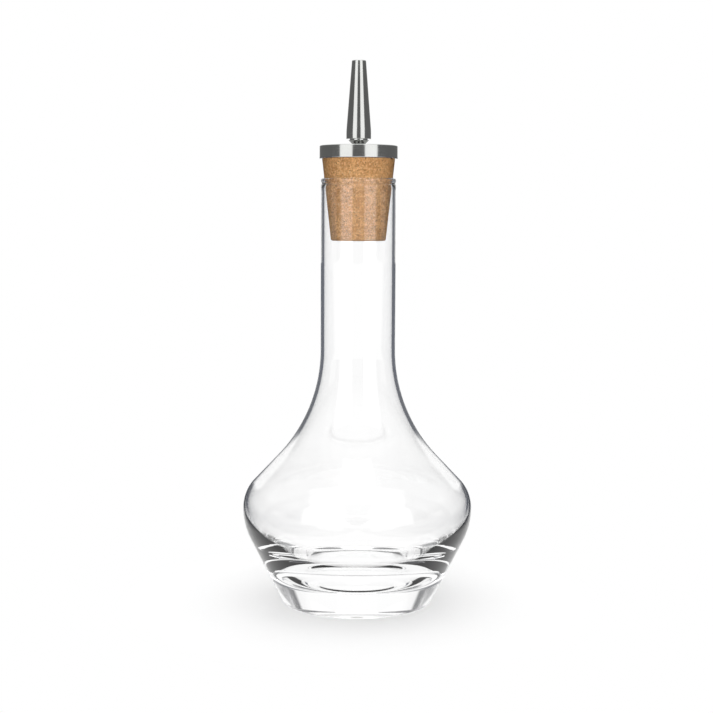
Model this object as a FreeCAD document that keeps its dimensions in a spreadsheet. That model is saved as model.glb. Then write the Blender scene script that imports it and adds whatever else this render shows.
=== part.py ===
import FreeCAD, Part
import math
import os

import Sketcher

# Glass dasher bottle for bitters: a slim-necked, wide-bellied flask on a heavy
# solid foot, closed by a tapered cork that carries a steel disc and pouring spout.
# The frame is +Z up, with the origin under the middle of the foot. Millimetres.

SIZES = {
    # Glass, outside.
    "bottle_height": 129.1,
    "foot_radius": 22.8,
    "foot_round": 1.2,
    "belly_radius": 35.0,
    "belly_height": 29.1,
    "belly_under_radius": 20.9,
    "belly_over_radius": 11.5,
    "shoulder_run": 10.7,
    "flare_radius": 47.6,
    "neck_radius": 11.3,
    # Glass, inside.
    "neck_wall": 1.0,
    "belly_wall": 1.25,
    "floor_height": 8.5,
    "floor_flat": 7.2,
    "bowl_radius": 14.0,
    "bowl_lift": 0.45,
    "punt_radius": 20.0,
    "punt_depth": 3.0,
    # Lip of the mouth and the shallow waist under its bead.
    "lip_round": 0.45,
    "waist_drop": 1.4,
    "waist_round": 0.8,
    "waist_depth": 0.2,
    # Cork: how far it goes in and stands out, and its slope in mm per mm.
    "cork_inside": 18.6,
    "cork_outside": 5.9,
    "cork_slope": 0.11,
    "cork_round": 0.5,
    "fit_gap": 0.02,
    # Steel disc on the cork.
    "disc_overhang": 0.8,
    "disc_thickness": 3.85,
    "disc_chamfer": 0.2,
    # Spout: tapered nozzle, straight band, undercut collar, stem and channel.
    # The collar's seat is how far its foot reaches past the hole it stands on.
    "spout_length": 23.2,
    "tip_radius": 2.12,
    "tip_round": 0.2,
    "band_radius": 3.72,
    "band_length": 2.6,
    "groove_radius": 2.7,
    "groove_height": 0.35,
    "collar_radius": 3.1,
    "collar_height": 1.65,
    "collar_seat": 0.08,
    "stem_radius": 1.4,
    "stem_recess": 0.5,
    "channel_radius": 0.9,
    "channel_chamfer": 0.35,
}

# Sizes that follow from others, as expressions over the sheet.
BORE = "(sizes.neck_radius - sizes.neck_wall)"
BELLY_INSIDE = "(sizes.belly_radius - sizes.belly_wall)"
BOWL_HEIGHT = "(sizes.belly_height + sizes.bowl_lift)"
BOWL_DEPTH = f"({BOWL_HEIGHT} - sizes.floor_height)"
BOWL_RADIUS = f"min(sizes.bowl_radius; 0.8 * {BOWL_DEPTH})"
# The flat stays small enough for the dish to sweep up into the side of the bowl.
FLOOR_FLAT = f"min(sizes.floor_flat; 0.7 * ({BELLY_INSIDE} - {BOWL_DEPTH}))"
# The hollow under the foot leaves a ring to stand on.
PUNT_RADIUS = "min(sizes.punt_radius; 0.9 * sizes.foot_radius)"
LIP_ROUND = "min(sizes.lip_round; 0.48 * sizes.neck_wall)"
CORK_LENGTH = "(sizes.cork_inside + sizes.cork_outside)"
CORK_BASE = "(sizes.bottle_height - sizes.cork_inside)"
CORK_TOP = "(sizes.bottle_height + sizes.cork_outside)"
# The cork's side is tangent to the lip's rounded inner edge, a gap away from it.
CORK_AT_MOUTH = (
    f"({BORE} + {LIP_ROUND}"
    f" - ({LIP_ROUND} + sizes.fit_gap) * sqrt(1 + sizes.cork_slope ^ 2)"
    f" + sizes.cork_slope * {LIP_ROUND})"
)
CORK_TOP_RADIUS = f"({CORK_AT_MOUTH} + sizes.cork_slope * sizes.cork_outside)"
CORK_BASE_RADIUS = f"({CORK_AT_MOUTH} - sizes.cork_slope * sizes.cork_inside)"
DISC_RADIUS = f"({CORK_TOP_RADIUS} + sizes.disc_overhang)"
DISC_TOP = f"({CORK_TOP} + sizes.disc_thickness)"
STEM_HOLE = "(sizes.stem_radius + sizes.fit_gap)"
COLLAR_FOOT = f"({STEM_HOLE} + sizes.collar_seat)"
STEM_LENGTH = f"(sizes.disc_thickness + {CORK_LENGTH} - sizes.stem_recess)"
GROOVE_TOP = "(sizes.collar_height + sizes.groove_height)"

START, END, CENTRE = 1, 2, 3
ORIGIN = (-1, 1)
H_AXIS = -1
V_AXIS = -2


def make_sheet(doc):
    """The driving dimensions, one alias to a row."""
    sheet = doc.addObject("Spreadsheet::Sheet", "sizes")
    for row, (alias, value) in enumerate(SIZES.items(), start=1):
        sheet.set(f"A{row}", alias)
        sheet.set(f"B{row}", str(value))
        sheet.setAlias(f"B{row}", alias)
    doc.recompute()
    return sheet


def vec(x, y):
    return FreeCAD.Vector(x, y, 0)


def line(x1, y1, x2, y2):
    return Part.LineSegment(vec(x1, y1), vec(x2, y2))


def arc(x, y, radius, start, end):
    """An arc about (x, y), anticlockwise from one angle to the other, in radians."""
    circle = Part.Circle(vec(x, y), FreeCAD.Vector(0, 0, 1), radius)
    return Part.ArcOfCircle(circle, start, end)


def make_body(doc, label, height=None):
    """A body standing at the height that an expression gives."""
    body = doc.addObject("PartDesign::Body", label)
    body.Label = label
    if height:
        body.setExpression("Placement.Base.z", height)
    return body


def make_sketch(body, name, role="XZ_Plane"):
    """An empty sketch on one of the body's own origin planes."""
    plane = next(item for item in body.Origin.OriginFeatures if item.Role == role)
    sketch = body.newObject("Sketcher::SketchObject", name)
    sketch.AttachmentSupport = [(plane, "")]
    sketch.MapMode = "FlatFace"
    return sketch


def fix(sketch, kind, *places):
    """A constraint without a size."""
    return sketch.addConstraint(Sketcher.Constraint(kind, *places))


def size(sketch, name, expression, kind, *places):
    """A named constraint whose size is bound to the sheet."""
    value = sketch.evalExpression(expression)
    value = getattr(value, "Value", value)
    index = sketch.addConstraint(Sketcher.Constraint(kind, *places, float(value)))
    sketch.renameConstraint(index, name)
    sketch.setExpression(f"Constraints.{name}", expression)


def polygon(sketch, corners):
    """A closed chain of lines, each corner given as a pair of expressions and bound to them."""
    points = []
    for across, up in corners:
        values = [sketch.evalExpression(text) for text in (across, up)]
        points.append([float(getattr(value, "Value", value)) for value in values])
    ends = points[1:] + points[:1]
    lines = [
        sketch.addGeometry(line(*first, *second))
        for first, second in zip(points, ends)
    ]
    for index, current in enumerate(lines):
        following = lines[(index + 1) % len(lines)]
        fix(sketch, "Coincident", current, END, following, START)
    for index, (current, (across, up)) in enumerate(zip(lines, corners)):
        if across == "0":
            fix(sketch, "PointOnObject", current, START, V_AXIS)
        else:
            size(sketch, f"across_{index}", across, "DistanceX", *ORIGIN, current, START)
        if up == "0":
            fix(sketch, "PointOnObject", current, START, H_AXIS)
        else:
            size(sketch, f"up_{index}", up, "DistanceY", *ORIGIN, current, START)


def turn(body, name, sketch, kind="PartDesign::Revolution"):
    """Turns a sketch a full turn about its upright axis."""
    feature = body.newObject(kind, name)
    feature.Profile = sketch
    feature.ReferenceAxis = (sketch, ["V_Axis"])
    feature.Angle = 360
    return feature


def ring_edges(feature, radius, height):
    """Names of a feature's round edges about the Z axis with this radius and height."""
    near = 1e-3
    names = []
    for index, edge in enumerate(feature.Shape.Edges, start=1):
        if edge.Degenerated or not isinstance(edge.Curve, Part.Circle):
            continue
        off_height = abs(edge.Curve.Center.z - height)
        off_radius = abs(edge.Curve.Radius - radius)
        if off_height < near and off_radius < near:
            names.append(f"Edge{index}")
    return names


def dress(body, name, kind, base, rings, amount):
    """A fillet or chamfer on the rings of a feature, given as (radius, height) expressions."""
    body.Document.recompute()
    edges = []
    for radius, height in rings:
        place = [body.evalExpression(text) for text in (radius, height)]
        place = [float(getattr(value, "Value", value)) for value in place]
        edges += ring_edges(base, *place)
    feature = body.newObject(kind, name)
    feature.Base = (base, edges)
    feature.setExpression("Radius" if kind.endswith("Fillet") else "Size", amount)
    return feature


def glass_start(sheet):
    """Where the glass section's arcs and lines begin, before the sketch is solved."""
    over = sheet.belly_over_radius
    under = sheet.belly_under_radius
    flare = sheet.flare_radius
    wall = sheet.neck_wall
    # Foot cone: tangent from the foot's corner to the arc under the belly.
    under_x = sheet.belly_radius - under
    foot = math.atan2(-sheet.belly_height, sheet.foot_radius - under_x)
    foot_reach = math.hypot(sheet.belly_height, sheet.foot_radius - under_x)
    foot += math.acos(under / foot_reach)
    # Shoulder line: tangent to the arc over the belly and to the flare.
    over_x = sheet.belly_radius - over
    flare_x = sheet.neck_radius + flare
    reach = math.hypot(over + flare, sheet.shoulder_run)
    rise = math.sqrt(reach ** 2 - (flare_x - over_x) ** 2)
    lean = math.atan2(rise, flare_x - over_x)
    lean -= math.atan2(sheet.shoulder_run, over + flare)
    # Inside: the arc over the bowl is tangent to the offset shoulder line.
    cosine = math.cos(lean)
    inner = sheet.belly_wall * cosine - wall - sheet.bowl_lift * math.sin(lean)
    inner = over + inner / (1 - cosine)
    return {
        "foot": foot,
        "under_x": under_x,
        "over_x": over_x,
        "flare_x": flare_x,
        "flare_y": sheet.belly_height + rise,
        "lean": lean,
        "inner": inner,
    }


def draw_glass(sketch, sheet):
    """The section of the glass wall: outside, lip, inside, floor and punt."""
    at = glass_start(sheet)
    top = sheet.bottle_height
    waist = sheet.belly_height
    bowl = waist + sheet.bowl_lift
    lean = at["lean"]
    bore = sheet.neck_radius - sheet.neck_wall
    inside = sheet.belly_radius - sheet.belly_wall
    depth = bowl - sheet.floor_height
    bowl_radius = min(sheet.bowl_radius, 0.8 * depth)
    bowl_x = inside - bowl_radius
    flat = min(sheet.floor_flat, 0.7 * (inside - depth))
    run = bowl_x - flat
    dish = (run ** 2 + depth ** 2 - bowl_radius ** 2) / (2 * (depth - bowl_radius))
    dish_y = sheet.floor_height + dish
    swing = math.atan2(depth - dish, run)
    inner_x = inside - at["inner"]
    flare_in = sheet.flare_radius + sheet.neck_wall

    def on_arc(x, y, radius, angle):
        return x + radius * math.cos(angle), y + radius * math.sin(angle)

    cone_end = on_arc(at["under_x"], waist, sheet.belly_under_radius, at["foot"])
    over_end = on_arc(at["over_x"], waist, sheet.belly_over_radius, lean)
    flare_end = on_arc(at["flare_x"], at["flare_y"], sheet.flare_radius, lean + math.pi)
    in_over_end = on_arc(inner_x, bowl, at["inner"], lean)
    in_flare_end = on_arc(at["flare_x"], at["flare_y"], flare_in, lean + math.pi)
    punt_radius = min(sheet.punt_radius, 0.9 * sheet.foot_radius)
    punt_ball = (punt_radius ** 2 + sheet.punt_depth ** 2) / (2 * sheet.punt_depth)
    punt_y = sheet.punt_depth - punt_ball
    punt_angle = math.atan2(-punt_y, punt_radius)

    add = sketch.addGeometry
    ring = add(line(punt_radius, 0, sheet.foot_radius, 0))
    cone = add(line(sheet.foot_radius, 0, *cone_end))
    under = add(arc(at["under_x"], waist, sheet.belly_under_radius, at["foot"], 0))
    over = add(arc(at["over_x"], waist, sheet.belly_over_radius, 0, lean))
    shoulder = add(line(*over_end, *flare_end))
    flare = add(arc(at["flare_x"], at["flare_y"], sheet.flare_radius, math.pi, math.pi + lean))
    neck = add(line(sheet.neck_radius, at["flare_y"], sheet.neck_radius, top))
    lip = add(line(sheet.neck_radius, top, bore, top))
    in_neck = add(line(bore, top, bore, at["flare_y"]))
    in_flare = add(arc(at["flare_x"], at["flare_y"], flare_in, math.pi, math.pi + lean))
    in_shoulder = add(line(*in_flare_end, *in_over_end))
    in_over = add(arc(inner_x, bowl, at["inner"], 0, lean))
    in_bowl = add(arc(bowl_x, bowl, bowl_radius, swing, 0))
    in_dish = add(arc(flat, dish_y, dish, -math.pi / 2, swing))
    floor = add(line(flat, sheet.floor_height, 0, sheet.floor_height))
    axis = add(line(0, sheet.floor_height, 0, sheet.punt_depth))
    punt = add(arc(0, punt_y, punt_ball, punt_angle, math.pi / 2))

    for first, end, second, start in (
        (ring, END, cone, START),
        (neck, END, lip, START),
        (lip, END, in_neck, START),
        (floor, END, axis, START),
        (axis, END, punt, END),
        (punt, START, ring, START),
    ):
        fix(sketch, "Coincident", first, end, second, start)
    for first, end, second, start in (
        (cone, END, under, START),
        (under, END, over, START),
        (over, END, shoulder, START),
        (shoulder, END, flare, END),
        (flare, START, neck, START),
        (in_neck, END, in_flare, START),
        (in_flare, END, in_shoulder, START),
        (in_shoulder, END, in_over, END),
        (in_over, START, in_bowl, END),
        (in_bowl, START, in_dish, END),
        (in_dish, START, floor, START),
    ):
        fix(sketch, "Tangent", first, end, second, start)
    fix(sketch, "Horizontal", over, CENTRE, over, START)
    fix(sketch, "Horizontal", in_over, CENTRE, in_over, START)
    fix(sketch, "Coincident", flare, CENTRE, in_flare, CENTRE)
    fix(sketch, "Parallel", shoulder, in_shoulder)
    for upright in (neck, in_neck):
        fix(sketch, "Vertical", upright)
    for level in (lip, floor):
        fix(sketch, "Horizontal", level)
    fix(sketch, "PointOnObject", ring, START, H_AXIS)
    fix(sketch, "PointOnObject", ring, END, H_AXIS)
    fix(sketch, "PointOnObject", axis, START, V_AXIS)
    fix(sketch, "PointOnObject", axis, END, V_AXIS)
    fix(sketch, "PointOnObject", punt, CENTRE, V_AXIS)

    size(sketch, "punt_radius", PUNT_RADIUS, "DistanceX", *ORIGIN, ring, START)
    size(sketch, "punt_depth", "sizes.punt_depth", "DistanceY", *ORIGIN, punt, END)
    size(sketch, "foot_radius", "sizes.foot_radius", "DistanceX", *ORIGIN, ring, END)
    size(sketch, "belly_radius", "sizes.belly_radius", "DistanceX", *ORIGIN, over, START)
    size(sketch, "belly_height", "sizes.belly_height", "DistanceY", *ORIGIN, over, START)
    size(sketch, "under_radius", "sizes.belly_under_radius", "Radius", under)
    size(sketch, "over_radius", "sizes.belly_over_radius", "Radius", over)
    size(sketch, "shoulder_run", "sizes.shoulder_run", "Distance", shoulder)
    size(sketch, "flare_radius", "sizes.flare_radius", "Radius", flare)
    size(sketch, "neck_radius", "sizes.neck_radius", "DistanceX", *ORIGIN, neck, END)
    size(sketch, "bottle_height", "sizes.bottle_height", "DistanceY", *ORIGIN, neck, END)
    size(sketch, "bore", BORE, "DistanceX", *ORIGIN, in_neck, START)
    size(sketch, "belly_inside", BELLY_INSIDE, "DistanceX", *ORIGIN, in_over, START)
    size(sketch, "bowl_height", BOWL_HEIGHT, "DistanceY", *ORIGIN, in_over, START)
    size(sketch, "bowl_radius", BOWL_RADIUS, "Radius", in_bowl)
    size(sketch, "floor_height", "sizes.floor_height", "DistanceY", *ORIGIN, floor, START)
    size(sketch, "floor_flat", FLOOR_FLAT, "DistanceX", *ORIGIN, floor, START)


def make_bottle(doc, sheet):
    """Clear glass: heavy foot, hollow belly, flared shoulder and straight neck."""
    body = make_body(doc, "bottle")
    section = make_sketch(body, "glass_section")
    draw_glass(section, sheet)
    wall = turn(body, "glass_wall", section)

    waist = make_sketch(body, "waist_section")
    circle = waist.addGeometry(
        Part.Circle(vec(sheet.neck_radius, 0), FreeCAD.Vector(0, 0, 1), sheet.waist_round)
    )
    size(
        waist,
        "waist_across",
        "sizes.neck_radius + sizes.waist_round - sizes.waist_depth",
        "DistanceX",
        *ORIGIN,
        circle,
        CENTRE,
    )
    size(
        waist,
        "waist_height",
        "sizes.bottle_height - sizes.waist_drop",
        "DistanceY",
        *ORIGIN,
        circle,
        CENTRE,
    )
    size(waist, "waist_round", "sizes.waist_round", "Radius", circle)
    bead = turn(body, "lip_waist", waist, "PartDesign::Groove")

    lip = dress(
        body,
        "lip",
        "PartDesign::Fillet",
        bead,
        [("sizes.neck_radius", "sizes.bottle_height"), (BORE, "sizes.bottle_height")],
        LIP_ROUND,
    )
    dress(
        body,
        "foot",
        "PartDesign::Fillet",
        lip,
        [("sizes.foot_radius", "0")],
        "sizes.foot_round",
    )
    return body


def make_cork(doc):
    """Tapered cork, bored for the spout's stem."""
    body = make_body(doc, "cork", CORK_BASE)
    section = make_sketch(body, "cork_section")
    polygon(
        section,
        [
            (STEM_HOLE, "0"),
            (CORK_BASE_RADIUS, "0"),
            (CORK_TOP_RADIUS, CORK_LENGTH),
            (STEM_HOLE, CORK_LENGTH),
        ],
    )
    cone = turn(body, "cork_cone", section)
    dress(
        body,
        "cork_edge",
        "PartDesign::Fillet",
        cone,
        [(CORK_BASE_RADIUS, "0")],
        "sizes.cork_round",
    )
    return body


def make_disc(doc):
    """Steel disc that sits on the cork, its edge plain all round."""
    body = make_body(doc, "disc", CORK_TOP)
    section = make_sketch(body, "disc_section")
    polygon(
        section,
        [
            (STEM_HOLE, "0"),
            (DISC_RADIUS, "0"),
            (DISC_RADIUS, "sizes.disc_thickness"),
            (STEM_HOLE, "sizes.disc_thickness"),
        ],
    )
    plate = turn(body, "disc_plate", section)
    dress(
        body,
        "disc_edges",
        "PartDesign::Chamfer",
        plate,
        [(DISC_RADIUS, "0"), (DISC_RADIUS, "sizes.disc_thickness")],
        "sizes.disc_chamfer",
    )
    return body


def make_spout(doc):
    """Steel spout: tapered nozzle, undercut collar and hollow stem."""
    body = make_body(doc, "spout", DISC_TOP)
    section = make_sketch(body, "spout_section")
    polygon(
        section,
        [
            ("sizes.channel_radius", f"-{STEM_LENGTH}"),
            ("sizes.stem_radius", f"-{STEM_LENGTH}"),
            ("sizes.stem_radius", "0"),
            (COLLAR_FOOT, "0"),
            ("sizes.collar_radius", "sizes.collar_height"),
            ("sizes.groove_radius", "sizes.collar_height"),
            ("sizes.groove_radius", GROOVE_TOP),
            ("sizes.band_radius", GROOVE_TOP),
            ("sizes.band_radius", f"{GROOVE_TOP} + sizes.band_length"),
            ("sizes.tip_radius", f"{GROOVE_TOP} + sizes.spout_length"),
            ("sizes.channel_radius", f"{GROOVE_TOP} + sizes.spout_length"),
        ],
    )
    nozzle = turn(body, "nozzle", section)
    rim = dress(
        body,
        "tip_edge",
        "PartDesign::Fillet",
        nozzle,
        [("sizes.tip_radius", f"{GROOVE_TOP} + sizes.spout_length")],
        "sizes.tip_round",
    )
    dress(
        body,
        "channel_mouth",
        "PartDesign::Chamfer",
        rim,
        [("sizes.channel_radius", f"{GROOVE_TOP} + sizes.spout_length")],
        "sizes.channel_chamfer",
    )
    return body


def check(doc, bodies):
    """Stops on a failed object, and on a sub-part that isn't one valid solid."""
    for item in doc.Objects:
        if {"Invalid", "Error"} & set(item.State):
            raise RuntimeError(f"{item.Name} failed: {item.State}")
    for body in bodies:
        shape = body.Shape
        if shape.isNull() or not shape.isValid():
            raise RuntimeError(f"{body.Label} has no valid shape")
        if len(shape.Solids) != 1:
            raise RuntimeError(f"{body.Label} isn't one solid")


def main():
    doc = FreeCAD.newDocument("bitters_bottle")
    sheet = make_sheet(doc)
    bodies = [make_bottle(doc, sheet), make_cork(doc), make_disc(doc), make_spout(doc)]
    doc.recompute()
    check(doc, bodies)
    os.makedirs("parts", exist_ok=True)
    for body in bodies:
        body.Shape.exportStep(os.path.join("parts", f"{body.Label}.step"))
        print(f"{body.Label}: {body.Shape.Volume / 1000:.2f} cm3")


main()
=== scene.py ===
import math

import bpy
from mathutils import Matrix, Vector, noise


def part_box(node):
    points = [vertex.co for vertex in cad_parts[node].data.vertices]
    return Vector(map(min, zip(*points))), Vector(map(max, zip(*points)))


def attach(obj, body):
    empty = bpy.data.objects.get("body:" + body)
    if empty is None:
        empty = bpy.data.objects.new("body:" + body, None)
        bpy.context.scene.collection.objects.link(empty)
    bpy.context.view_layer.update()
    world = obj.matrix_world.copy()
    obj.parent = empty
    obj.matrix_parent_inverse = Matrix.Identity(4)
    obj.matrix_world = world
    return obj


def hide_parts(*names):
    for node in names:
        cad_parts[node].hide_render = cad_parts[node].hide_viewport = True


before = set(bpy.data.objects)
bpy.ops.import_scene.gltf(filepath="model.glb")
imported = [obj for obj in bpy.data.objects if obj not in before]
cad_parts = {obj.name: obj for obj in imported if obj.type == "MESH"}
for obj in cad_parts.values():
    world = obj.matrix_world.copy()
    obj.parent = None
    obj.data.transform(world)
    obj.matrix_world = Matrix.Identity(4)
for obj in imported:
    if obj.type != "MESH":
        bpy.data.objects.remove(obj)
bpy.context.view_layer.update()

MM = 0.001

# Glass sizes, as in the CAD model, in metres.
GLASS = {
    "foot_radius": 22.8 * MM,
    "foot_round": 1.2 * MM,
    "belly_radius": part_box("bottle")[1].x,
    "belly_height": 29.1 * MM,
    "under_radius": 20.9 * MM,
    "over_radius": 11.5 * MM,
    "shoulder_run": 10.7 * MM,
    "flare_radius": 47.6 * MM,
    "neck_radius": 11.3 * MM,
    "neck_wall": 1.0 * MM,
    "belly_wall": 1.25 * MM,
    "floor_height": 8.5 * MM,
    "floor_flat": 7.2 * MM,
    "bowl_radius": 14.0 * MM,
    "bowl_lift": 0.45 * MM,
    "punt_radius": 20.0 * MM,
    "punt_depth": 3.0 * MM,
    "lip_round": 0.45 * MM,
    "waist_drop": 1.4 * MM,
    "waist_round": 0.8 * MM,
    "waist_depth": 0.2 * MM,
    "height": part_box("bottle")[1].z,
}

# Cork colours.
CORK_TAN = (0.92, 0.54, 0.235, 1)
CORK_BROWN = (0.58, 0.275, 0.098, 1)
CORK_WARM = (0.83, 0.41, 0.15, 1)
CORK_SEAM = (0.34, 0.14, 0.05, 1)
CORK_PALE = (0.95, 0.74, 0.48, 1)
CORK_SPECK = (0.13, 0.05, 0.02, 1)

# Flags: the unlit parts of the studio that edge the glass. The floor also glows in FLAG_GREY to
# the glass and steel, as painted shade.
FLAG_GREY = (0.15, 0.16, 0.185, 1)
FLAG_DARK = (0.07, 0.072, 0.08, 1)

# Cork and steel sizes, in millimetres.
CORK_SLOPE = 0.11
STEM_HOLE = 1.42
STEM_RADIUS = 1.4
CHANNEL_RADIUS = 0.9
CHANNEL_MOUTH = 0.35
COLLAR_FOOT = 1.5
COLLAR_RADIUS = 3.1
COLLAR_HEIGHT = 1.65
GROOVE_RADIUS = 2.7
GROOVE_HEIGHT = 0.35
BAND_RADIUS = 3.72
BAND_LENGTH = 2.6
TIP_RADIUS = 2.12

# ---------------------------------------------------------------- geometry helpers


def arc(x, z, radius, start, end, steps):
    """Points along an arc, both ends included. Angles in radians."""
    angles = [start + (end - start) * i / steps for i in range(steps + 1)]
    return [(x + radius * math.cos(a), z + radius * math.sin(a)) for a in angles]


def span(first, last, steps):
    """Points along a straight line, both ends included."""
    return [
        (
            first[0] + (last[0] - first[0]) * i / steps,
            first[1] + (last[1] - first[1]) * i / steps,
        )
        for i in range(steps + 1)
    ]


def join(*runs):
    """One outline from several, without repeated points."""
    points = []
    for run in runs:
        for point in run:
            if not points or math.dist(point, points[-1]) > 1e-7:
                points.append(point)
    return points


def lathe(name, outline, segments, closed=False, warp=None):
    """Turns an outline of (radius, height) points about the Z axis."""
    verts = []
    faces = []
    rings = []
    for radius, height in outline:
        if radius < 1e-7:
            rings.append([len(verts)])
            verts.append((0.0, 0.0, height))
            continue
        start = len(verts)
        for i in range(segments):
            angle = 2 * math.pi * i / segments
            r = radius
            z = height
            if warp:
                r, z = warp(radius, height, angle)
            verts.append((r * math.cos(angle), r * math.sin(angle), z))
        rings.append(list(range(start, start + segments)))
    pairs = list(zip(rings, rings[1:]))
    if closed:
        pairs.append((rings[-1], rings[0]))
    for low, high in pairs:
        for i in range(segments):
            j = (i + 1) % segments
            if len(low) == 1:
                faces.append((low[0], high[j], high[i]))
            elif len(high) == 1:
                faces.append((low[i], low[j], high[0]))
            else:
                faces.append((low[i], low[j], high[j], high[i]))
    mesh = bpy.data.meshes.new(name)
    mesh.from_pydata(verts, [], faces)
    mesh.update()
    for polygon in mesh.polygons:
        polygon.use_smooth = True
    piece = bpy.data.objects.new(name, mesh)
    bpy.context.scene.collection.objects.link(piece)
    return piece


# ---------------------------------------------------------------- node helpers


class Graph:
    """Short calls for building a node tree."""

    def __init__(self, tree):
        self.tree = tree
        self.tree.nodes.clear()

    def node(self, kind, **settings):
        node = self.tree.nodes.new(kind)
        for key, value in settings.items():
            setattr(node, key, value)
        return node

    def put(self, socket, value):
        if isinstance(value, bpy.types.NodeSocket):
            self.tree.links.new(value, socket)
        else:
            socket.default_value = value

    def math(self, operation, *values):
        node = self.node("ShaderNodeMath", operation=operation)
        for socket, value in zip(node.inputs, values):
            self.put(socket, value)
        return node.outputs[0]

    def ramp(self, value, low, high, out_low=0.0, out_high=1.0):
        """A smooth step from low to high."""
        node = self.node("ShaderNodeMapRange", interpolation_type="SMOOTHSTEP")
        for socket, given in zip(node.inputs, (value, low, high, out_low, out_high)):
            self.put(socket, given)
        return node.outputs[0]

    def mix(self, factor, first, second):
        node = self.node("ShaderNodeMix", data_type="RGBA")
        self.put(node.inputs["Factor"], factor)
        self.put(node.inputs["A"], first)
        self.put(node.inputs["B"], second)
        return node.outputs["Result"]

    def noise(self, coords, scale, detail=2.0, rough=0.5):
        node = self.node("ShaderNodeTexNoise")
        self.put(node.inputs["Vector"], coords)
        node.inputs["Scale"].default_value = scale
        node.inputs["Detail"].default_value = detail
        node.inputs["Roughness"].default_value = rough
        return node.outputs["Fac"]

    def stretch(self, coords, scale):
        node = self.node("ShaderNodeMapping")
        self.put(node.inputs["Vector"], coords)
        node.inputs["Scale"].default_value = scale
        return node.outputs[0]

    def bump(self, height, strength, distance):
        node = self.node("ShaderNodeBump")
        self.put(node.inputs["Height"], height)
        node.inputs["Strength"].default_value = strength
        node.inputs["Distance"].default_value = distance
        return node.outputs[0]


def new_material(name):
    material = bpy.data.materials.new(name)
    material.use_nodes = True
    graph = Graph(material.node_tree)
    output = graph.node("ShaderNodeOutputMaterial")
    return material, graph, output


def grey(level):
    return (level, level, level, 1.0)


# ---------------------------------------------------------------- camera


def make_camera():
    """Level with the top of the neck, looking slightly down."""
    focal = 1400.0
    frame_width = 713.0
    horizon_rise = 141.5
    roll = math.radians(0.23)
    lens = bpy.data.cameras.new("camera")
    lens.sensor_width = 36.0
    lens.lens = lens.sensor_width * focal / frame_width
    camera = bpy.data.objects.new("camera", lens)
    bpy.context.scene.collection.objects.link(camera)
    pitch = math.atan2(horizon_rise, focal)
    place = Matrix.Translation((-0.4 * MM, -424.2 * MM, 118.2 * MM))
    tilt = Matrix.Rotation(math.pi / 2 - pitch, 4, "X")
    camera.matrix_world = place @ tilt @ Matrix.Rotation(roll, 4, "Z")
    bpy.context.scene.camera = camera


# ---------------------------------------------------------------- glass


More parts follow.
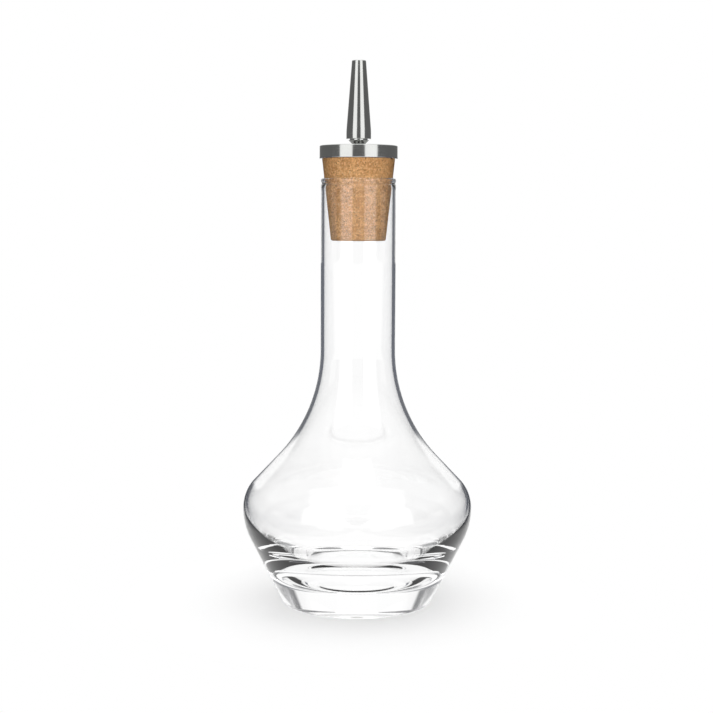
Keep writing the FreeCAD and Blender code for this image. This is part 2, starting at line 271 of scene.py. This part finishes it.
def glass_outline(g):
    """The glass wall's section, from the middle of the underside out, up, in and down."""
    under_x = g["belly_radius"] - g["under_radius"]
    waist = g["belly_height"]
    foot = math.atan2(-waist, g["foot_radius"] - under_x)
    foot += math.acos(g["under_radius"] / math.hypot(waist, g["foot_radius"] - under_x))
    over_x = g["belly_radius"] - g["over_radius"]
    flare_x = g["neck_radius"] + g["flare_radius"]
    reach = math.hypot(g["over_radius"] + g["flare_radius"], g["shoulder_run"])
    rise = math.sqrt(reach ** 2 - (flare_x - over_x) ** 2)
    lean = math.atan2(rise, flare_x - over_x)
    lean -= math.atan2(g["shoulder_run"], g["over_radius"] + g["flare_radius"])
    flare_z = waist + rise
    cosine = math.cos(lean)
    wall = g["neck_wall"]
    inner = g["belly_wall"] * cosine - wall - g["bowl_lift"] * math.sin(lean)
    inner = g["over_radius"] + inner / (1 - cosine)
    bowl = waist + g["bowl_lift"]
    inside = g["belly_radius"] - g["belly_wall"]
    side = g["bowl_radius"]
    flat = g["floor_flat"]
    deep = bowl - g["floor_height"]
    reach_in = inside - side - flat
    bottom = (reach_in ** 2 + deep ** 2 - side ** 2) / (2 * (deep - side))
    swing = math.atan2(deep - bottom, reach_in)
    bore = g["neck_radius"] - wall
    top = g["height"]
    lip = g["lip_round"]

    punt = (g["punt_radius"] ** 2 + g["punt_depth"] ** 2) / (2 * g["punt_depth"])
    punt_angle = math.atan2(punt - g["punt_depth"], g["punt_radius"])
    setback = g["foot_round"] * math.tan((foot + math.pi / 2) / 2)
    foot_arc = arc(
        g["foot_radius"] - setback,
        g["foot_round"],
        g["foot_round"],
        -math.pi / 2,
        foot,
        10,
    )

    waist_z = top - g["waist_drop"]
    waist_x = g["neck_radius"] + g["waist_round"] - g["waist_depth"]
    waist_half = math.acos((waist_x - g["neck_radius"]) / g["waist_round"])
    waist_arc = arc(
        waist_x, waist_z, g["waist_round"], math.pi + waist_half, math.pi - waist_half, 14
    )
    outer_top = g["neck_radius"]
    return join(
        arc(0, g["punt_depth"] - punt, punt, math.pi / 2, punt_angle, 30),
        span((g["punt_radius"], 0), (g["foot_radius"] - setback, 0), 4),
        foot_arc,
        span(foot_arc[-1], arc(under_x, waist, g["under_radius"], foot, foot, 1)[0], 24),
        arc(under_x, waist, g["under_radius"], foot, 0, 24),
        arc(over_x, waist, g["over_radius"], 0, lean, 24),
        span(
            arc(over_x, waist, g["over_radius"], lean, lean, 1)[0],
            arc(flare_x, flare_z, g["flare_radius"], math.pi + lean, math.pi + lean, 1)[0],
            12,
        ),
        arc(flare_x, flare_z, g["flare_radius"], math.pi + lean, math.pi, 48),
        span((outer_top, flare_z), waist_arc[0], 30),
        waist_arc,
        span(waist_arc[-1], (outer_top, top - lip), 3),
        arc(outer_top - lip, top - lip, lip, 0, math.pi / 2, 8),
        arc(bore + lip, top - lip, lip, math.pi / 2, math.pi, 8),
        span((bore, top - lip), (bore, flare_z), 34),
        arc(flare_x, flare_z, g["flare_radius"] + wall, math.pi, math.pi + lean, 48),
        span(
            arc(
                flare_x,
                flare_z,
                g["flare_radius"] + wall,
                math.pi + lean,
                math.pi + lean,
                1,
            )[0],
            arc(inside - inner, bowl, inner, lean, lean, 1)[0],
            12,
        ),
        arc(inside - inner, bowl, inner, lean, 0, 24),
        arc(inside - side, bowl, side, 0, swing, 24),
        arc(flat, g["floor_height"] + bottom, bottom, swing, -math.pi / 2, 24),
        span((flat, g["floor_height"]), (0, g["floor_height"]), 8),
    )


def glass_material():
    """Clear glass. Lamps shine through it, with a thicker shadow where it is edge on."""
    material, graph, output = new_material("clear_glass")
    shader = graph.node("ShaderNodeBsdfPrincipled")
    shader.inputs["Base Color"].default_value = (1.0, 1.0, 1.0, 1)
    shader.inputs["Roughness"].default_value = 0.0
    shader.inputs["IOR"].default_value = 1.5
    shader.inputs["Transmission Weight"].default_value = 1.0
    facing = graph.node("ShaderNodeLayerWeight").outputs["Facing"]
    shade = graph.mix(graph.math("POWER", facing, 3.0), grey(0.97), grey(0.5))
    clear = graph.node("ShaderNodeBsdfTransparent")
    graph.put(clear.inputs[0], shade)
    path = graph.node("ShaderNodeLightPath")
    passing = graph.math(
        "MAXIMUM", path.outputs["Is Shadow Ray"], path.outputs["Is Diffuse Ray"]
    )
    blend = graph.node("ShaderNodeMixShader")
    graph.put(blend.inputs[0], passing)
    graph.put(blend.inputs[1], shader.outputs[0])
    graph.put(blend.inputs[2], clear.outputs[0])
    graph.put(output.inputs["Surface"], blend.outputs[0])
    return material


def make_bottle():
    piece = lathe("glass_bottle", glass_outline(GLASS), 240)
    dress(piece, "bottle", glass_material())


# ---------------------------------------------------------------- cork and steel


def cork_relief(radius, height, angle):
    """The pressed cork's small pits and uneven grain, always cut inwards."""
    spot = Vector((radius * math.cos(angle), radius * math.sin(angle), height)) / MM
    grain = 0.5 + 0.5 * noise.noise(spot * 2.9)
    swell = 0.5 + 0.5 * noise.noise(spot * 0.7)
    pit = max(0.0, noise.noise(spot * 2.1 + Vector((7.0, 3.0, 1.0))) - 0.4)
    crack = max(0.0, 0.05 - abs(noise.noise(spot * 0.8 + Vector((1.0, 9.0, 4.0)))))
    sink = 0.03 * grain + 0.03 * swell + 0.8 * pit + 0.8 * crack
    edge = min(1.0, max(0.0, radius / MM - 2.0))
    return radius - sink * edge * MM, height


def cork_material():
    material, graph, output = new_material("pressed_cork")
    coords = graph.node("ShaderNodeTexCoord").outputs["Object"]
    bend = graph.node("ShaderNodeTexNoise")
    graph.put(bend.inputs["Vector"], coords)
    bend.inputs["Scale"].default_value = 1500.0
    bent = graph.node("ShaderNodeVectorMath", operation="MULTIPLY_ADD")
    graph.put(bent.inputs[0], bend.outputs["Color"])
    bent.inputs[1].default_value = (0.0006, 0.0006, 0.0006)
    graph.put(bent.inputs[2], coords)
    cells = graph.node("ShaderNodeTexVoronoi")
    graph.put(cells.inputs["Vector"], bent.outputs[0])
    cells.inputs["Scale"].default_value = 1900.0
    pick = graph.node("ShaderNodeSeparateColor")
    graph.put(pick.inputs[0], cells.outputs["Color"])
    seams = graph.node("ShaderNodeTexVoronoi", feature="DISTANCE_TO_EDGE")
    graph.put(seams.inputs["Vector"], bent.outputs[0])
    seams.inputs["Scale"].default_value = 1900.0
    seam = graph.ramp(seams.outputs["Distance"], 0.0, 0.12, 1.0, 0.0)

    cloud = graph.noise(coords, 160.0, 3.0, 0.55)
    fine = graph.noise(coords, 3600.0, 3.0, 0.6)
    layers = graph.noise(graph.stretch(coords, (60.0, 60.0, 1500.0)), 1.0, 2.0, 0.5)
    tone = graph.math("MULTIPLY_ADD", pick.outputs[0], 0.45, graph.math("MULTIPLY", fine, 0.4))
    tone = graph.math("ADD", tone, graph.math("MULTIPLY", layers, 0.35))
    colour = graph.mix(graph.ramp(tone, 0.3, 0.88), CORK_BROWN, CORK_TAN)
    colour = graph.mix(graph.ramp(cloud, 0.4, 0.7, 0.0, 0.45), colour, CORK_WARM)
    colour = graph.mix(graph.math("MULTIPLY", seam, 0.4), colour, CORK_SEAM)
    flecks = graph.ramp(graph.noise(coords, 1700.0, 3.0, 0.6), 0.6, 0.7, 0.0, 0.6)
    colour = graph.mix(flecks, colour, CORK_PALE)
    specks = graph.ramp(graph.noise(coords, 2300.0, 2.0, 0.65), 0.6, 0.68, 0.0, 0.85)
    colour = graph.mix(specks, colour, CORK_SPECK)

    shader = graph.node("ShaderNodeBsdfPrincipled")
    graph.put(shader.inputs["Base Color"], colour)
    graph.put(shader.inputs["Roughness"], graph.ramp(fine, 0.3, 0.7, 0.72, 0.95))
    shader.inputs["Specular IOR Level"].default_value = 0.3
    height = graph.math("SUBTRACT", fine, graph.math("MULTIPLY", specks, 0.8))
    graph.put(shader.inputs["Normal"], graph.bump(height, 0.35, 0.0001))
    graph.put(output.inputs["Surface"], shader.outputs[0])
    return material


def steel_material(name, rough_low, rough_high):
    """Turned and polished steel, with faint rings from the lathe."""
    material, graph, output = new_material(name)
    coords = graph.node("ShaderNodeTexCoord").outputs["Object"]
    rings = graph.noise(graph.stretch(coords, (25.0, 25.0, 9000.0)), 1.0, 2.0, 0.5)
    smudge = graph.noise(coords, 220.0, 3.0, 0.55)
    shader = graph.node("ShaderNodeBsdfPrincipled")
    colour = graph.mix(smudge, (0.45, 0.455, 0.445, 1), (0.52, 0.525, 0.51, 1))
    graph.put(shader.inputs["Base Color"], colour)
    shader.inputs["Metallic"].default_value = 1.0
    wear = graph.math("MULTIPLY_ADD", rings, 0.5, graph.math("MULTIPLY", smudge, 0.5))
    graph.put(shader.inputs["Roughness"], graph.ramp(wear, 0.35, 0.65, rough_low, rough_high))
    graph.put(shader.inputs["Normal"], graph.bump(rings, 0.12, 0.00003))
    graph.put(output.inputs["Surface"], shader.outputs[0])
    return material


def rounded(corners, steps=5):
    """A closed outline in mm: each corner is (radius, height, rounding)."""
    points = []
    count = len(corners)
    for i, (x, z, bend) in enumerate(corners):
        here = Vector((x, z))
        before = Vector(corners[i - 1][:2]) - here
        after = Vector(corners[(i + 1) % count][:2]) - here
        back = min(bend, 0.45 * before.length, 0.45 * after.length)
        first = here + before.normalized() * back
        last = here + after.normalized() * back
        support = min(0.06, 0.04 * before.length, 0.04 * after.length)
        points.append(first + before.normalized() * support)
        for k in range(steps + 1):
            t = k / steps
            points.append(first.lerp(here, t).lerp(here.lerp(last, t), t))
        points.append(last + after.normalized() * support)
    return [(point.x * MM, point.y * MM) for point in points]


def fine_spans(outline, longest):
    """The same closed outline with its long spans cut into short ones."""
    points = []
    for first, last in zip(outline, outline[1:] + outline[:1]):
        steps = max(1, math.ceil(math.dist(first, last) / longest))
        points.extend(span(first, last, steps)[:-1])
    return points


def dress(piece, node, material):
    piece.data.materials.append(material)
    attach(piece, "root")
    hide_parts(node)


def make_cork():
    low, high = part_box("cork")
    top = high.z / MM
    base = low.z / MM
    top_radius = high.x / MM
    base_radius = top_radius - CORK_SLOPE * (top - base)
    outline = rounded(
        [
            (STEM_HOLE, base, 0.15),
            (base_radius, base, 0.6),
            (top_radius, top, 0.12),
            (STEM_HOLE, top, 0.05),
        ]
    )
    piece = lathe("cork_stopper", fine_spans(outline, 0.2 * MM), 256, True, cork_relief)
    dress(piece, "cork", cork_material())


def make_disc():
    low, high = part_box("disc")
    base = low.z / MM
    top = high.z / MM
    edge = high.x / MM
    outline = rounded(
        [
            (STEM_HOLE, base, 0.05),
            (edge, base, 0.25),
            (edge, top, 0.25),
            (STEM_HOLE, top, 0.05),
        ]
    )
    piece = lathe("steel_disc", fine_spans(outline, 1.0 * MM), 256, True)
    dress(piece, "disc", steel_material("polished_disc", 0.07, 0.15))


def make_spout():
    low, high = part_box("spout")
    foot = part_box("disc")[1].z / MM
    stem_end = low.z / MM
    tip = high.z / MM
    collar = foot + COLLAR_HEIGHT
    groove = collar + GROOVE_HEIGHT
    outline = rounded(
        [
            (CHANNEL_RADIUS, stem_end, 0.05),
            (STEM_RADIUS, stem_end, 0.08),
            (STEM_RADIUS, foot, 0.0),
            (COLLAR_FOOT, foot, 0.0),
            (COLLAR_RADIUS, collar, 0.12),
            (GROOVE_RADIUS, collar, 0.03),
            (GROOVE_RADIUS, groove, 0.03),
            (BAND_RADIUS, groove, 0.15),
            (BAND_RADIUS, groove + BAND_LENGTH, 0.8),
            (TIP_RADIUS, tip, 0.2),
            (CHANNEL_RADIUS + CHANNEL_MOUTH, tip, 0.08),
            (CHANNEL_RADIUS, tip - CHANNEL_MOUTH, 0.05),
        ]
    )
    piece = lathe("steel_spout", fine_spans(outline, 0.8 * MM), 192, True)
    dress(piece, "spout", steel_material("polished_spout", 0.06, 0.14))


# ---------------------------------------------------------------- studio


def make_floor():
    """A white table. Far from the bottle it is plain white, near it keeps the shadow. To rays
    through the glass or off the steel it glows with painted flags: dark grey outside a middle
    strip, and white inside the strip, after four passes through glass, and in inner reflections
    on the camera side.
    """
    size = 3.0
    mesh = bpy.data.meshes.new("floor")
    mesh.from_pydata(
        [(-size, -size, 0), (size, -size, 0), (size, size, 0), (-size, size, 0)],
        [],
        [(0, 1, 2, 3)],
    )
    floor = bpy.data.objects.new("floor", mesh)
    bpy.context.scene.collection.objects.link(floor)
    material, graph, output = new_material("floor_white")
    coords = graph.node("ShaderNodeTexCoord").outputs["Object"]
    length = graph.node("ShaderNodeVectorMath", operation="LENGTH")
    graph.put(length.inputs[0], coords)
    path = graph.node("ShaderNodeLightPath")
    camera = path.outputs["Is Camera Ray"]
    depth = path.outputs["Transmission Depth"]
    clear = graph.math("GREATER_THAN", depth, 3.5)
    split = graph.node("ShaderNodeSeparateXYZ")
    graph.put(split.inputs[0], coords)
    sideways = graph.math("ABSOLUTE", split.outputs[0])
    # The middle strip where the painted glow is white to rays through the glass.
    painted_white_strip = graph.ramp(sideways, 0.07, 0.10, 1.0, 0.0)
    near = graph.ramp(split.outputs[1], -0.2, -0.1, 1.0, 0.0)
    inner = graph.math("GREATER_THAN", path.outputs["Glossy Depth"], 0.5)
    inner = graph.math("MULTIPLY", inner, near)
    seen = graph.math("MAXIMUM", camera, graph.math("MAXIMUM", clear, painted_white_strip))
    seen = graph.math("MAXIMUM", seen, inner)
    # Painted flags and painted white: a glow that shows the dark and lit parts of the studio in
    # the floor, seen through the glass and in the steel.
    painted_glow = graph.node("ShaderNodeEmission")
    graph.put(painted_glow.inputs["Color"], graph.mix(seen, FLAG_GREY, grey(1.0)))
    matt = graph.node("ShaderNodeBsdfDiffuse")
    # Painted shade: to light bounced from other surfaces the floor is nearly black (0.05), so it
    # lights the cork and steel from below hardly at all.
    tabletop = graph.mix(path.outputs["Is Diffuse Ray"], grey(0.95), grey(0.05))
    graph.put(matt.inputs["Color"], tabletop)
    mirrored = graph.math(
        "MAXIMUM", path.outputs["Is Glossy Ray"], path.outputs["Is Transmission Ray"]
    )
    direct = graph.math("LESS_THAN", path.outputs["Diffuse Depth"], 0.5)
    far = graph.ramp(length.outputs["Value"], 0.045, 0.075)
    shown = graph.math("MAXIMUM", graph.math("MULTIPLY", camera, far), mirrored)
    blend = graph.node("ShaderNodeMixShader")
    graph.put(blend.inputs[0], graph.math("MULTIPLY", direct, shown))
    graph.put(blend.inputs[1], matt.outputs[0])
    graph.put(blend.inputs[2], painted_glow.outputs[0])
    graph.put(output.inputs["Surface"], blend.outputs[0])
    mesh.materials.append(material)


def make_world():
    """A white room to the camera, and a studio with cards and flags to metal and glass."""
    world = bpy.data.worlds.new("studio")
    bpy.context.scene.world = world
    world.use_nodes = True
    world.cycles.sampling_method = "NONE"
    graph = Graph(world.node_tree)
    output = graph.node("ShaderNodeOutputWorld")
    coords = graph.node("ShaderNodeTexCoord").outputs["Generated"]
    split = graph.node("ShaderNodeSeparateXYZ")
    graph.put(split.inputs[0], coords)
    x, y, z = split.outputs
    azimuth = graph.math("ABSOLUTE", graph.math("DEGREES", graph.math("ARCTAN2", x, y)))
    rise = graph.math("MAXIMUM", graph.math("DEGREES", graph.math("ARCSINE", z)), 0.0)

    half = graph.math("MINIMUM", graph.math("MULTIPLY_ADD", rise, 1.7, 15.0), 38.0)
    card = graph.ramp(graph.math("SUBTRACT", azimuth, half), -3.0, 3.0, 1.0, 0.0)
    turn = graph.math("PINGPONG", azimuth, 22.5)
    others = graph.ramp(turn, 13.0, 17.0, 1.0, 0.0)
    others = graph.math("MULTIPLY", others, graph.math("GREATER_THAN", azimuth, 84.0))
    others = graph.math("MULTIPLY", others, graph.ramp(rise, 8.0, 12.0, 1.0, 0.0))
    path = graph.node("ShaderNodeLightPath")
    clear = graph.math("GREATER_THAN", path.outputs["Transmission Depth"], 3.5)
    clear = graph.math("MULTIPLY", clear, graph.ramp(rise, 8.0, 12.0, 1.0, 0.0))
    inner = graph.math("GREATER_THAN", path.outputs["Glossy Depth"], 0.5)
    inner = graph.math("MULTIPLY", inner, graph.ramp(azimuth, 110.0, 120.0))
    seen = graph.math("MAXIMUM", card, graph.math("MAXIMUM", others, clear))
    seen = graph.math("MAXIMUM", seen, graph.math("MULTIPLY", inner, 0.8))
    rear = graph.math(
        "MAXIMUM", graph.ramp(azimuth, 88.0, 100.0, 0.0, 0.35), graph.ramp(azimuth, 145.0, 155.0)
    )
    rear = graph.math("MULTIPLY", rear, graph.ramp(rise, 8.0, 12.0))
    seen = graph.math("MAXIMUM", seen, rear)
    dark = graph.mix(graph.ramp(rise, 8.0, 16.0), FLAG_GREY, FLAG_DARK)
    through = graph.mix(seen, dark, grey(1.0))
    ceiling = graph.ramp(rise, 14.0, 32.0, 0.0, 0.9)
    mirror = graph.math("MULTIPLY_ADD", graph.math("MAXIMUM", card, ceiling), 0.8, 0.2)

    level = graph.mix(path.outputs["Is Transmission Ray"], mirror, through)
    direct = graph.math("LESS_THAN", path.outputs["Diffuse Depth"], 0.5)
    ahead = graph.math("MAXIMUM", graph.math("MULTIPLY", y, -1.0), 0.0)
    ahead = graph.math("POWER", ahead, 16.0)
    behind = graph.math("POWER", graph.math("MAXIMUM", y, 0.0), 10.0)
    above = graph.math("POWER", graph.math("MAXIMUM", z, 0.0), 8.0)
    soft = graph.math("MULTIPLY_ADD", ahead, 12.0, 0.01)
    soft = graph.math("MULTIPLY_ADD", behind, 3.5, soft)
    soft = graph.math("MULTIPLY_ADD", above, 4.4, soft)
    level = graph.mix(direct, soft, level)
    level = graph.mix(path.outputs["Is Camera Ray"], level, grey(1.0))
    shine = graph.node("ShaderNodeBackground")
    graph.put(shine.inputs["Color"], level)
    shine.inputs["Strength"].default_value = 1.0
    graph.put(output.inputs["Surface"], shine.outputs[0])


def make_softbox(name, azimuth, elevation, distance, width, height, radiance):
    """A soft lamp aimed at the bottle. Azimuth 0 is the camera's side, + to its right."""
    light = bpy.data.lights.new(name, "AREA")
    light.shape = "RECTANGLE"
    light.size = width
    light.size_y = height
    light.energy = radiance * math.pi * width * height
    # The face of the lamp fades at its left and right edges, as a diffuser does.
    light.use_nodes = True
    graph = Graph(light.node_tree)
    split = graph.node("ShaderNodeSeparateXYZ")
    graph.put(split.inputs[0], graph.node("ShaderNodeNewGeometry").outputs["Parametric"])
    inward = graph.math("PINGPONG", split.outputs[0], 0.5)
    shine = graph.node("ShaderNodeEmission")
    graph.put(shine.inputs["Strength"], graph.ramp(inward, 0.0, 0.1))
    graph.put(graph.node("ShaderNodeOutputLight").inputs[0], shine.outputs[0])
    lamp = bpy.data.objects.new(name, light)
    bpy.context.scene.collection.objects.link(lamp)
    a = math.radians(azimuth)
    e = math.radians(elevation)
    target = Vector((0, 0, 0.09))
    lamp.location = target + distance * Vector(
        (math.sin(a) * math.cos(e), -math.cos(a) * math.cos(e), math.sin(e))
    )
    lamp.rotation_euler = (target - lamp.location).to_track_quat("-Z", "Y").to_euler()
    lamp.visible_diffuse = False


scene = bpy.context.scene
scene.view_settings.view_transform = "Standard"
make_camera()
make_bottle()
make_cork()
make_disc()
make_spout()
make_floor()
make_world()
make_softbox("softbox_left", -37, 14, 0.6, 0.46, 0.55, 1.5)
make_softbox("softbox_right", 37, 14, 0.6, 0.46, 0.55, 1.5)
make_softbox("softbox_top", 0, 78, 0.9, 0.5, 0.35, 3.0)
